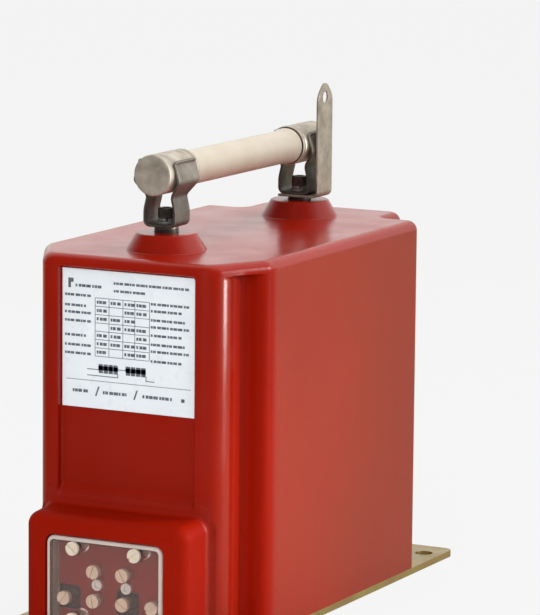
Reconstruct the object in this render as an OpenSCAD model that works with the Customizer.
// Medium voltage instrument transformer: a cast resin voltage transformer on a steel base plate,
// with a fuse link carried in clips on two short bushings and a terminal box with a clear cover.
// Millimetres, +Z up, front towards -Y. The origin is the middle of the base plate's underside.

/* [Base plate] */
// How far the plate reaches past each end of the casting
plate_overhang = 26; // [20:1:40]
// Thickness of the plate
plate_t = 4; // [3:0.5:8]
// Radius of the plate's corners
plate_corner_r = 6; // [2:1:10]
// Diameter of the four fixing holes
fix_hole_d = 11; // [7:0.5:14]
// Distance from a fixing hole to the side edge of the plate
fix_edge_x = 11.5; // [10:0.5:14]
// Distance from a fixing hole to the end edge of the plate
fix_edge_y = 20; // [11:0.5:22]
// Thread diameter of the screws that hold the casting on the plate
plate_screw_d = 8; // [6:1:8]

/* [Resin casting] */
// Width over the broad middle of the casting, and of the plate under it
body_w = 148; // [140:1:180]
// Length over both ends of the casting
body_l = 268; // [250:1:320]
// Height of the flat top above the floor
body_h = 220; // [205:1:260]
// Width of the front end, which carries the nameplate and the terminal box
end_w = 120; // [114:1:130]
// Width of the narrower rear end
rear_end_w = 98; // [90:1:120]
// Length of the broad middle
middle_l = 206; // [180:1:230]
// Radius of the upright corners of the front end
end_corner_r = 14; // [10:0.5:15]
// Radius of the upright corners of the rear end
rear_corner_r = 9; // [7:0.5:12]
// Radius of the upright corners of the broad middle
middle_corner_r = 7; // [7:0.5:12]
// Radius of the rounding around the top
rim_r = 6; // [4:0.5:6.5]
// Upright height of the brows that close the front corner grooves, below the rounding
brow_h = 1; // [0.5:0.5:8]

/* [Bushings] */
// Distance between the two bushings
bushing_pitch = 171; // [160:1:190]
// Diameter at the foot of a bushing
bushing_foot_d = 47; // [42:1:60]
// Diameter at the top of a bushing
bushing_top_d = 36; // [30:1:40]
// Height of a bushing above the flat top
bushing_h = 10; // [6:1:30]

/* [Nameplate] */
// Width of the nameplate
nameplate_w = 86; // [70:1:88]
// Height of the nameplate
nameplate_h = 80; // [60:1:90]
// Thickness of the nameplate
nameplate_t = 1; // [0.5:0.1:2]
// Depth of the sunk panel that the nameplate lies in
panel_depth = 4.5; // [2:0.5:8]
// Space between the nameplate and the panel's top and side edges
panel_margin = 1.2; // [0.5:0.1:3]
// Height of the casting's lip above the panel
panel_lip_h = 6.8; // [6.6:0.1:10]
// Height of the sunk panel's lower edge above the floor
panel_foot_z = 80; // [79:1:120]

/* [Terminal box] */
// Width of the box
box_w = 105; // [98:1:108]
// Height of the box's top above the floor
box_h = 74; // [70:1:78]
// Radius of the box's front edges
box_edge_r = 8; // [5:0.5:8]
// How far the box face stays behind the plate's front edge
box_setback = 1.5; // [1:0.5:5]
// Depth of the pocket in the box's face
box_pocket_depth = 12.5; // [10:0.5:16]

/* [Terminal cover] */
// Width of the clear cover
cover_w = 75; // [70:1:80]
// Height of the clear cover
cover_h = 54; // [50:1:55]
// Height of the cover's lower edge above the floor
cover_foot_z = 8; // [7:0.5:9]
// Thickness of the cover's face
cover_face_t = 3; // [2:0.5:4]
// Thickness of the cover's side walls
cover_wall_t = 2.5; // [1.5:0.5:3]
// Radius of the cover's corners
cover_corner_r = 5; // [3:0.5:7]
// Space between the cover and the pocket's walls
cover_gap = 0.8; // [0.4:0.1:1.5]
// Distance between the left and right cover screws
cover_screw_pitch = 40; // [30:1:46]
// Distance from a cover screw to the cover's upper or lower edge
cover_screw_edge = 6.3; // [6:0.1:7]
// Thread diameter of the cover screws
cover_screw_d = 4; // [3:0.5:4.5]
// Diameter of a cover screw's head
cover_head_d = 8; // [6:0.5:9]

/* [Secondary terminals] */
// Distance from an outer terminal to the cover's side edge
terminal_edge = 9; // [8:0.1:10]
// Height of the lower row of terminals above the cover's lower edge
terminal_low_rise = 17; // [15:0.5:18]
// Height of the upper pair of terminals above the lower row
terminal_high_rise = 17; // [16.5:0.5:20]
// Diameter of a terminal's pillar
pillar_d = 7; // [6:0.5:8]
// Height of a pillar in front of the pocket's floor
pillar_h = 4.5; // [3:0.5:5]
// Diameter of a terminal screw's head
terminal_head_d = 8; // [7:0.5:9]
// Height of a terminal screw's head
terminal_head_h = 3; // [2:0.5:3.5]
// Width of the sunk wire bay around the first and third terminals
bay_w = 15.5; // [13:0.5:16]
// Extra depth of a wire bay
bay_depth = 6; // [3:0.5:10]
// Diameter of the earthing screws' heads
earth_head_d = 6.5; // [5:0.5:7]

/* [Fuse link] */
// Overall length of the fuse link
fuse_l = 207; // [200:1:230]
// Height of the fuse link's centre line above the flat top
fuse_rise = 44.5; // [42:0.5:60]
// Diameter of the end caps
cap_d = 23.8; // [22:0.2:27]
// Length of an end cap
cap_l = 36.5; // [34:0.5:45]
// Wall of an end cap around the tube's neck
cap_wall = 2.8; // [1.5:0.1:4]
// Diameter of the ceramic tube between the caps
tube_d = 20.2; // [16:0.2:21]
// Diameter of the tube's flared shoulders beside the caps
flare_d = 21.8; // [20:0.2:22]
// Length of a flared shoulder
flare_l = 6; // [4:0.5:10]

/* [Fuse clips] */
// Width of a clip's arms along the fuse link
clip_w = 25; // [20:1:26]
// Width of a clip's foot and legs along the fuse link
clip_leg_w = 18; // [14:1:20]
// Thickness of the clip strip
clip_t = 1.5; // [1:0.1:2]
// Width of the clip's foot over both legs
clip_foot_w = 21; // [19:0.5:24]
// How far the clip's arms stand out at their widest, on each side of the fuse link
clip_ear_x = 15.4; // [14.6:0.1:17]
// Depth of the arms' widest place below the fuse link's centre line
clip_ear_drop = 4.2; // [3:0.1:6]
// How far the clip reaches up past the fuse link's centre line
clip_grip = 6.5; // [3:0.5:9]
// Space between the opposite strips at the clip's waist
waist_gap = 14; // [10:1:16]

/* [Line terminal] */
// Width of the terminal bar
bar_w = 19.5; // [16:0.5:22]
// Thickness of the terminal bar
bar_t = 1.5; // [1:0.5:3]
// Height of the bar's top above the flat top of the casting
bar_rise = 82; // [70:1:110]
// Size of the cut-off corners at the bar's top
bar_corner = 7.5; // [5:0.5:8]
// Diameter of the hole in the terminal bar
bar_hole_d = 7; // [6:0.5:9]
// Distance from the hole's centre to the bar's top
bar_hole_edge = 8.5; // [7:0.5:12]
// Outside radius of the bar's bend
bar_bend_r = 4; // [3.5:0.5:5]

/* [Primary fasteners] */
// Thread diameter of the clip bolts
bolt_d = 6; // [5:0.5:7]
// Diameter of a clip bolt's head
bolt_head_d = 10; // [9:0.5:11]
// Height of a clip bolt's head
bolt_head_h = 6; // [4:0.5:7]
// Diameter of a clip bolt's washer
washer_d = 11; // [10:0.5:12]
// Thickness of a clip bolt's washer, and of the lock washer on it
washer_t = 1.6; // [1:0.1:2]
// Diameter of the brass insert cast into a bushing
insert_d = 14; // [12:0.5:16]
// Length of the insert below the bushing's top
insert_depth = 24; // [20:1:40]
// How far an insert stands out of the resin
insert_proud = 2; // [0.5:0.5:4]

/* [Hidden] */

$fn = 64;
rounding_fn = 32;   // sides of a circle inside the hulled roundings
eps = 0.01;         // overlap of shapes that are joined into one solid
cut = 1;            // how far a cutting shape runs past the face that it cuts
fit_gap = 0.2;      // radial space between round pieces that fit together

plate_l = body_l + 2 * plate_overhang;
fix_x = body_w / 2 - fix_edge_x;
fix_y = plate_l / 2 - fix_edge_y;

end_y = body_l / 2;
panel_w = nameplate_w + 2 * panel_margin;
panel_top_z = body_h - panel_lip_h;
panel_y = -end_y + panel_depth;
nameplate_z = panel_top_z - panel_margin - nameplate_h;

box_face_y = -plate_l / 2 + box_setback;
pocket_floor_y = box_face_y + box_pocket_depth;
cover_setback = 0.5;       // the cover's face lies this far behind the box's face
cover_face_y = box_face_y + cover_setback;
cover_z = cover_foot_z + cover_h / 2;
cover_screw_x = cover_screw_pitch / 2;
cover_screw_dz = cover_h / 2 - cover_screw_edge;
cover_screw_bite = 8;      // length of a cover screw in the resin
cover_boss_d = 9.5;        // round boss in the cover around each screw
cover_head_h = 1.9;        // height of a cover screw's head
slot_w = 1.2;              // width of a screwdriver slot
slot_depth = 1;            // depth of a screwdriver slot

terminal_pitch = (cover_w - 2 * terminal_edge) / 3;
terminal_low_z = cover_foot_z + terminal_low_rise;
terminal_high_z = terminal_low_z + terminal_high_rise;
bay_rise = 7;              // height of a wire bay above its terminal
bay_drop = 8;              // depth of a wire bay below its terminal
bay_top_z = terminal_low_z + bay_rise;
bay_foot_z = terminal_low_z - bay_drop;
terminal_x = [-1.5, -0.5, 0.5, 1.5] * terminal_pitch;
// One row per terminal: x, z and how far its seat lies behind the pocket's floor
terminals = [
    [terminal_x[0], terminal_low_z, bay_depth],
    [terminal_x[1], terminal_low_z, 0],
    [terminal_x[2], terminal_low_z, bay_depth],
    [terminal_x[3], terminal_low_z, 0],
    [terminal_x[1], terminal_high_z, 0],
    [terminal_x[2], terminal_high_z, 0]
];
pillar_root = 10;          // length of a pillar cast into the resin
pillar_bore_d = 5;         // threaded hole in a pillar
terminal_shank_l = 8;      // length of a terminal screw below its head
earth_z = (terminal_low_z + terminal_high_z) / 2;
earth_shank_d = 3;
earth_shank_l = 8;
earth_head_h = 2.2;
earth_hex = 3;             // width of the socket in an earthing screw

bushing_y = bushing_pitch / 2;
bushing_top_z = body_h + bushing_h;
insert_top_z = bushing_top_z + insert_proud;
spacer_t = bar_t;
clip_foot_z = insert_top_z + spacer_t;
washer_z = clip_foot_z + clip_t;
lock_washer_z = washer_z + washer_t;
lock_washer_d = washer_d - 1;
bolt_head_z = lock_washer_z + washer_t;
bolt_socket_w = 5;         // width across flats of the socket in a clip bolt
bolt_shank_l = 20;
bolt_hole_d = bolt_d + 2 * fit_gap;

fuse_z = body_h + fuse_rise;
cap_bore_d = cap_d - 2 * cap_wall;
neck_d = cap_bore_d - fit_gap;     // the tube's narrower end inside a cap
cap_end_t = 3;
cap_edge = 1.2;            // chamfer around an end cap's face
arm_in_r = cap_d / 2 + fit_gap;
arm_out_r = arm_in_r + clip_t;
arm_mid_r = (arm_in_r + arm_out_r) / 2;
leg_x = (clip_foot_w - clip_t) / 2;
leg_top_z = clip_foot_z + 10;
foot_bend_r = 4;           // outside radius of the bends in a clip's foot
waist_x = (waist_gap + clip_t) / 2;
waist_z = fuse_z - 13;
// Middle of the strip at the ear, and where the arm comes to lie along the cap
ear = [clip_ear_x - clip_t / 2, fuse_z - clip_ear_drop];
ear_reach = norm([ear[0], clip_ear_drop]);
touch_angle = acos(arm_mid_r / ear_reach) - atan2(clip_ear_drop, ear[0]);
touch = [arm_mid_r * cos(touch_angle), fuse_z + arm_mid_r * sin(touch_angle)];
grip_angle = asin(clip_grip / arm_mid_r);
foot_mid_z = clip_foot_z + clip_t / 2;
foot_mid_r = foot_bend_r - clip_t / 2;
// Points along the middle of the clip's strip, from the foot's right bend to the arm's end
half_path = concat(
    arc_points([leg_x - foot_mid_r, foot_mid_z + foot_mid_r], foot_mid_r, -90, 0, 6),
    [[leg_x, leg_top_z], [waist_x, waist_z], ear],
    arc_points([0, fuse_z], arm_mid_r, touch_angle, grip_angle, 4)
);
clip_path = concat([for (point = reversed(half_path)) [-point[0], point[1]]], half_path);

bar_x = clip_ear_x + fit_gap;
bar_foot_l = 10;           // reach of the bar's foot past the bushing's centre line
bar_top_z = body_h + bar_rise;
bar_joint_z = insert_top_z + bar_bend_r + 4;

plate_screw_inset = 18;    // distance from a plate screw to the side of a narrow end
plate_screw_x = end_w / 2 - plate_screw_inset;
plate_screw_y = middle_l / 2;
plate_screw_head_d = 2 * plate_screw_d;
plate_screw_l = 24;

// ---- paths ----

function reversed(list) = [for (i = [len(list) - 1 : -1 : 0]) list[i]];

// Points on a circle's arc between two angles
function arc_points(centre, r, from, to, steps) =
    [for (i = [0 : steps])
        let (a = from + (to - from) * i / steps)
            centre + r * [cos(a), sin(a)]];

function direction(from, to) = (to - from) / norm(to - from);

// A path's points moved sideways by a distance, with mitred corners
function moved_path(path, distance) =
    [for (i = [0 : len(path) - 1])
        let (
            last = len(path) - 1,
            before = i == 0 ? direction(path[0], path[1]) : direction(path[i - 1], path[i]),
            after = i == last ? before : direction(path[i], path[i + 1]),
            middle = (before + after) / norm(before + after)
        )
            path[i] + distance / (middle * before) * [-middle[1], middle[0]]];

// ---- shared shapes ----

// A flat rectangle with round corners, centred on the origin
module round_rect(w, l, r) {
    square([w - 2 * r, l], center = true);
    square([w, l - 2 * r], center = true);
    for (x = [-1, 1], y = [-1, 1])
        translate([x * (w / 2 - r), y * (l / 2 - r)])
            circle(r);
}

// A post with a rounded top edge, for the upright corners of the casting
module corner_post(h, r, rim) {
    cylinder(h = h - rim, r = r, $fn = rounding_fn);
    translate([0, 0, h - rim])
        rotate_extrude($fn = rounding_fn)
            intersection() {
                square([r, rim]);
                union() {
                    square([r - rim, rim]);
                    translate([r - rim, 0])
                        circle(rim, $fn = rounding_fn);
                }
            }
}

// A block with round upright corners and a rounded top edge, standing on the plate,
// from one place to another along the casting
module round_block(w, from_y, to_y, r) {
    translate([0, 0, plate_t])
        hull()
            for (x = [-1, 1], y = [from_y + r, to_y - r])
                translate([x * (w / 2 - r), y, 0])
                    corner_post(body_h - plate_t, r, rim_r);
}

// The brows over the grooves in the front corners: a slab as high as the rounding and brow_h,
// from the front end's corners to those of the broad middle
module front_brows() {
    h = rim_r + brow_h;
    translate([0, 0, body_h - h])
        hull()
            for (x = [-1, 1]) {
                translate([x * (end_w / 2 - end_corner_r), -end_y + end_corner_r, 0])
                    corner_post(h, end_corner_r, rim_r);
                translate([x * (body_w / 2 - middle_corner_r), -middle_l / 2 + middle_corner_r, 0])
                    corner_post(h, middle_corner_r, rim_r);
            }
}

// Places children at a bushing's centre line: side is -1 for the front, 1 for the rear
module at_bushing(side, z) {
    translate([0, side * bushing_y, z])
        children();
}

// Turns children so that their +Z points to the front, at a point of the terminal box
module facing_front(x, y, z) {
    translate([x, y, z])
        rotate([90, 0, 0])
            children();
}

// A slotted screw pointing away from the front, its head on the XY plane towards +Z
module slotted_screw(head_d, head_h, shank_d, shank_l) {
    difference() {
        cylinder(h = head_h, d = head_d);
        translate([-head_d / 2 - cut, -slot_w / 2, head_h - slot_depth])
            cube([head_d + 2 * cut, slot_w, slot_depth + cut]);
    }
    translate([0, 0, -shank_l])
        cylinder(h = shank_l + eps, d = shank_d);
}

// ---- base plate ----

module base_plate() {
    color([0.66, 0.58, 0.33])
        difference() {
            linear_extrude(plate_t)
                round_rect(body_w, plate_l, plate_corner_r);
            for (x = [-1, 1], y = [-1, 1])
                translate([x * fix_x, y * fix_y, -cut])
                    cylinder(h = plate_t + 2 * cut, d = fix_hole_d);
            for (x = [-1, 1], y = [-1, 1])
                translate([x * plate_screw_x, y * plate_screw_y, 0])
                    plate_screw_space();
        }
}

// The countersunk hole in the plate for one screw
module plate_screw_space() {
    translate([0, 0, -cut])
        cylinder(h = plate_t + 2 * cut, d = plate_screw_d + 2 * fit_gap);
    translate([0, 0, -eps])
        cylinder(h = plate_t * 0.8 + fit_gap, d1 = plate_screw_head_d + 2 * fit_gap, d2 = plate_screw_d + 2 * fit_gap);
}

module plate_screw(x, y) {
    color([0.62, 0.62, 0.63])
        translate([x * plate_screw_x, y * plate_screw_y, 0])
            difference() {
                union() {
                    cylinder(h = plate_t * 0.8, d1 = plate_screw_head_d, d2 = plate_screw_d);
                    cylinder(h = plate_screw_l, d = plate_screw_d);
                }
                translate([0, 0, -eps])
                    cylinder(h = plate_t * 0.6, d = plate_screw_d * 0.62, $fn = 6);
            }
}

// ---- resin casting ----

module bushing(side) {
    at_bushing(side, body_h - eps)
        cylinder(h = bushing_h + eps, d1 = bushing_foot_d, d2 = bushing_top_d);
}

// The box at the front, hulled from two posts with ball tops and a block inside the casting
module terminal_box() {
    r = box_edge_r;
    hull() {
        for (x = [-1, 1])
            translate([x * (box_w / 2 - r), box_face_y + r, 0]) {
                translate([0, 0, plate_t])
                    cylinder(h = box_h - r - plate_t, r = r, $fn = rounding_fn);
                translate([0, 0, box_h - r])
                    sphere(r, $fn = rounding_fn);
            }
        translate([-box_w / 2, -end_y, plate_t])
            cube([box_w, end_corner_r, box_h + 1.5 - plate_t]);
    }
}

// The sunk panel on the front end, its foot running out in a slope
module panel_space() {
    translate([-panel_w / 2, 0, 0])
        rotate([90, 0, 90])
            linear_extrude(panel_w)
                polygon([
                    [-end_y - cut, panel_foot_z - cut],
                    [-end_y, panel_foot_z],
                    [panel_y, panel_foot_z + panel_depth],
                    [panel_y, panel_top_z],
                    [-end_y - cut, panel_top_z]
                ]);
}

module box_pocket() {
    facing_front(0, pocket_floor_y, cover_z)
        linear_extrude(box_pocket_depth + cut)
            round_rect(cover_w + 2 * cover_gap, cover_h + 2 * cover_gap, cover_corner_r + cover_gap);
    for (i = [0, 2])
        translate([terminal_x[i] - bay_w / 2, pocket_floor_y - eps, bay_foot_z])
            cube([bay_w, bay_depth + eps, bay_top_z - bay_foot_z]);
}

module resin_body() {
    color([0.60, 0.10, 0.05])
        difference() {
            union() {
                round_block(end_w, -end_y, 0, end_corner_r);
                round_block(rear_end_w, 0, end_y, rear_corner_r);
                round_block(body_w, -middle_l / 2, middle_l / 2, middle_corner_r);
                front_brows();
                terminal_box();
                bushing(-1);
                bushing(1);
            }
            panel_space();
            box_pocket();
            for (side = [-1, 1])
                at_bushing(side, bushing_top_z - insert_depth)
                    cylinder(h = insert_depth + cut, d = insert_d + 2 * fit_gap);
            for (t = terminals)
                facing_front(t[0], pocket_floor_y + t[2] + pillar_root, t[1])
                    cylinder(h = pillar_root + cut, d = pillar_d + 2 * fit_gap);
            for (x = [-1, 1])
                facing_front(x * terminal_pitch / 2, pocket_floor_y + earth_shank_l, earth_z)
                    cylinder(h = earth_shank_l + cut, d = earth_shank_d + 2 * fit_gap);
            for (x = [-1, 1], z = [-1, 1])
                facing_front(x * cover_screw_x, pocket_floor_y + cover_screw_bite, cover_z + z * cover_screw_dz)
                    cylinder(h = cover_screw_bite + cut, d = cover_screw_d + 2 * fit_gap);
            for (x = [-1, 1], y = [-1, 1])
                translate([x * plate_screw_x, y * plate_screw_y, plate_t - cut])
                    cylinder(h = plate_screw_l - plate_t + 2 * cut, d = plate_screw_d + 2 * fit_gap);
        }
}

module nameplate() {
    color([0.93, 0.94, 0.94])
        translate([-nameplate_w / 2, panel_y - nameplate_t, nameplate_z])
            cube([nameplate_w, nameplate_t, nameplate_h]);
}

// ---- terminal box fittings ----

module terminal_cover() {
    depth = pocket_floor_y - cover_face_y;
    inner_w = cover_w - 2 * cover_wall_t;
    inner_h = cover_h - 2 * cover_wall_t;
    color([0.85, 0.87, 0.88, 0.35])
        facing_front(0, pocket_floor_y, cover_z)
            difference() {
                union() {
                    difference() {
                        linear_extrude(depth)
                            round_rect(cover_w, cover_h, cover_corner_r);
                        translate([0, 0, -cut])
                            linear_extrude(depth - cover_face_t + cut)
                                round_rect(inner_w, inner_h, cover_corner_r - cover_wall_t);
                    }
                    for (x = [-1, 1], z = [-1, 1])
                        translate([x * cover_screw_x, z * cover_screw_dz, 0])
                            cylinder(h = depth - cover_face_t + eps, d = cover_boss_d);
                }
                for (x = [-1, 1], z = [-1, 1])
                    translate([x * cover_screw_x, z * cover_screw_dz, -cut])
                        cylinder(h = depth + 2 * cut, d = cover_screw_d + 2 * fit_gap);
            }
}

module cover_screw(x, z) {
    shank = pocket_floor_y - cover_face_y + cover_screw_bite - cut;
    color([0.80, 0.72, 0.52])
        facing_front(x * cover_screw_x, cover_face_y, cover_z + z * cover_screw_dz)
            rotate(x * z * 35)
                slotted_screw(cover_head_d, cover_head_h, cover_screw_d, shank);
}

// The pillars are numbered from the left along the lower row, then the upper pair
module terminal_pillar(number) {
    t = terminals[number - 1];
    length = pillar_root + t[2] + pillar_h;
    color([0.72, 0.58, 0.30])
        facing_front(t[0], pocket_floor_y + t[2] + pillar_root, t[1])
            difference() {
                cylinder(h = length, d = pillar_d);
                translate([0, 0, length - terminal_shank_l - cut])
                    cylinder(h = terminal_shank_l + 2 * cut, d = pillar_bore_d);
            }
}

module terminal_screw(number) {
    t = terminals[number - 1];
    color([0.80, 0.72, 0.52])
        facing_front(t[0], pocket_floor_y - pillar_h, t[1])
            rotate(number * 50)
                slotted_screw(terminal_head_d, terminal_head_h, pillar_bore_d - 2 * fit_gap, terminal_shank_l);
}

module earth_screw(x) {
    color([0.78, 0.79, 0.80])
        facing_front(x * terminal_pitch / 2, pocket_floor_y, earth_z)
            difference() {
                union() {
                    cylinder(h = earth_head_h, d = earth_head_d);
                    translate([0, 0, cut - earth_shank_l])
                        cylinder(h = earth_shank_l - cut + eps, d = earth_shank_d);
                }
                translate([0, 0, earth_head_h / 2])
                    cylinder(h = earth_head_h, d = earth_hex, $fn = 6);
            }
}

// ---- primary terminals ----

module insert(side) {
    color([0.72, 0.58, 0.30])
        at_bushing(side, bushing_top_z - insert_depth)
            difference() {
                cylinder(h = insert_depth + insert_proud, d = insert_d);
                translate([0, 0, cap_end_t])
                    cylinder(h = insert_depth + cut + insert_proud, d = bolt_hole_d);
            }
}

module spacer_front() {
    color([0.60, 0.59, 0.57])
        at_bushing(-1, insert_top_z)
            difference() {
                cylinder(h = spacer_t, d = insert_d);
                translate([0, 0, -cut])
                    cylinder(h = spacer_t + 2 * cut, d = bolt_hole_d);
            }
}

// The bar's foot lies under the rear clip, and its upright face looks to the side
module terminal_bar() {
    r = bar_bend_r;
    outer_x = bar_x + bar_t;
    color([0.66, 0.65, 0.63])
        at_bushing(1, 0)
            difference() {
                union() {
                    rotate([90, 0, 0])
                        translate([0, 0, -bar_w / 2])
                            linear_extrude(bar_w)
                                difference() {
                                    union() {
                                        translate([-bar_foot_l, insert_top_z])
                                            square([bar_foot_l + outer_x - r, bar_t]);
                                        translate([bar_x, insert_top_z + r])
                                            square([bar_t, bar_joint_z - insert_top_z - r + eps]);
                                        translate([outer_x - r, insert_top_z + r])
                                            intersection() {
                                                circle(r);
                                                translate([0, -r])
                                                    square(r);
                                            }
                                    }
                                    translate([outer_x - r, insert_top_z + r])
                                        circle(r - bar_t);
                                }
                    translate([bar_x, 0, 0])
                        rotate([90, 0, 90])
                            linear_extrude(bar_t)
                                polygon([
                                    [-bar_w / 2, bar_joint_z],
                                    [bar_w / 2, bar_joint_z],
                                    [bar_w / 2, bar_top_z - bar_corner],
                                    [bar_w / 2 - bar_corner, bar_top_z],
                                    [bar_corner - bar_w / 2, bar_top_z],
                                    [-bar_w / 2, bar_top_z - bar_corner]
                                ]);
                }
                translate([0, 0, insert_top_z - cut])
                    cylinder(h = bar_t + 2 * cut, d = bolt_hole_d);
                translate([bar_x - cut, 0, bar_top_z - bar_hole_edge])
                    rotate([0, 90, 0])
                        cylinder(h = bar_t + 2 * cut, d = bar_hole_d);
            }
}

// The strip's cross-section: a path's points moved to both sides by half the thickness
module clip_profile() {
    polygon(concat(moved_path(clip_path, clip_t / 2), reversed(moved_path(clip_path, -clip_t / 2))));
}

// The clip's outline from the side: narrow legs that widen above the waist into the arms
module clip_side() {
    polygon([
        [-clip_leg_w / 2, clip_foot_z - cut],
        [clip_leg_w / 2, clip_foot_z - cut],
        [clip_leg_w / 2, waist_z],
        [clip_w / 2, ear[1]],
        [clip_w / 2, fuse_z + arm_out_r],
        [-clip_w / 2, fuse_z + arm_out_r],
        [-clip_w / 2, ear[1]],
        [-clip_leg_w / 2, waist_z]
    ]);
}

module clip(side) {
    color([0.62, 0.61, 0.59])
        at_bushing(side, 0)
            difference() {
                intersection() {
                    rotate([90, 0, 0])
                        translate([0, 0, -clip_w / 2])
                            linear_extrude(clip_w)
                                clip_profile();
                    rotate([90, 0, 90])
                        translate([0, 0, -clip_ear_x - cut])
                            linear_extrude(2 * (clip_ear_x + cut))
                                clip_side();
                }
                translate([0, 0, clip_foot_z - cut])
                    cylinder(h = clip_t + 2 * cut, d = bolt_hole_d);
            }
}

module clip_washer(side) {
    color([0.68, 0.68, 0.67])
        at_bushing(side, washer_z)
            difference() {
                cylinder(h = washer_t, d = washer_d);
                translate([0, 0, -cut])
                    cylinder(h = washer_t + 2 * cut, d = bolt_hole_d);
            }
}

module lock_washer(side) {
    color([0.55, 0.55, 0.55])
        at_bushing(side, lock_washer_z)
            difference() {
                cylinder(h = washer_t, d = lock_washer_d);
                translate([0, 0, -cut])
                    cylinder(h = washer_t + 2 * cut, d = bolt_hole_d);
            }
}

module clip_bolt(side) {
    color([0.58, 0.58, 0.58])
        at_bushing(side, bolt_head_z)
            difference() {
                union() {
                    cylinder(h = bolt_head_h, d = bolt_head_d);
                    translate([0, 0, -bolt_shank_l])
                        cylinder(h = bolt_shank_l + eps, d = bolt_d);
                }
                translate([0, 0, bolt_head_h / 2])
                    cylinder(h = bolt_head_h, d = bolt_socket_w / cos(30), $fn = 6);
            }
}

// ---- fuse link ----

// The ceramic tube, flared to a shoulder beside each cap
module fuse_tube() {
    half = fuse_l / 2 - cap_end_t;
    shoulder = fuse_l / 2 - cap_l - fit_gap;
    color([0.91, 0.87, 0.75])
        translate([0, 0, fuse_z])
            rotate([90, 0, 0])
                rotate_extrude()
                    polygon([
                        [0, -half],
                        [neck_d / 2, -half],
                        [neck_d / 2, -shoulder],
                        [flare_d / 2, -shoulder],
                        [tube_d / 2, flare_l - shoulder],
                        [tube_d / 2, shoulder - flare_l],
                        [flare_d / 2, shoulder],
                        [neck_d / 2, shoulder],
                        [neck_d / 2, half],
                        [0, half]
                    ]);
}

module fuse_cap(side) {
    color([0.63, 0.62, 0.60])
        translate([0, side * (fuse_l / 2 - cap_l), fuse_z])
            rotate([-side * 90, 0, 0])
                rotate_extrude()
                    polygon([
                        [cap_bore_d / 2, 0],
                        [cap_d / 2 - cap_edge, 0],
                        [cap_d / 2, cap_edge],
                        [cap_d / 2, cap_l - cap_edge],
                        [cap_d / 2 - cap_edge, cap_l],
                        [0, cap_l],
                        [0, cap_l - cap_end_t],
                        [cap_bore_d / 2, cap_l - cap_end_t]
                    ]);
}

// ---- nodes ----

base_plate();
resin_body();
nameplate();
terminal_cover();
cover_screw(-1, 1);  // cover_screw_top_left
cover_screw(1, 1);  // cover_screw_top_right
cover_screw(-1, -1);  // cover_screw_bottom_left
cover_screw(1, -1);  // cover_screw_bottom_right
terminal_pillar(1);  // terminal_pillar_1
terminal_pillar(2);  // terminal_pillar_2
terminal_pillar(3);  // terminal_pillar_3
terminal_pillar(4);  // terminal_pillar_4
terminal_pillar(5);  // terminal_pillar_5
terminal_pillar(6);  // terminal_pillar_6
terminal_screw(1);  // terminal_screw_1
terminal_screw(2);  // terminal_screw_2
terminal_screw(3);  // terminal_screw_3
terminal_screw(4);  // terminal_screw_4
terminal_screw(5);  // terminal_screw_5
terminal_screw(6);  // terminal_screw_6
earth_screw(-1);  // earth_screw_left
earth_screw(1);  // earth_screw_right
insert(-1);  // insert_front
insert(1);  // insert_rear
spacer_front();
terminal_bar();
clip(-1);  // clip_front
clip(1);  // clip_rear
clip_washer(-1);  // clip_washer_front
clip_washer(1);  // clip_washer_rear
lock_washer(-1);  // lock_washer_front
lock_washer(1);  // lock_washer_rear
clip_bolt(-1);  // clip_bolt_front
clip_bolt(1);  // clip_bolt_rear
fuse_tube();
fuse_cap(-1);  // fuse_cap_front
fuse_cap(1);  // fuse_cap_rear
plate_screw(-1, -1);  // plate_screw_front_left
plate_screw(1, -1);  // plate_screw_front_right
plate_screw(-1, 1);  // plate_screw_rear_left
plate_screw(1, 1);  // plate_screw_rear_right
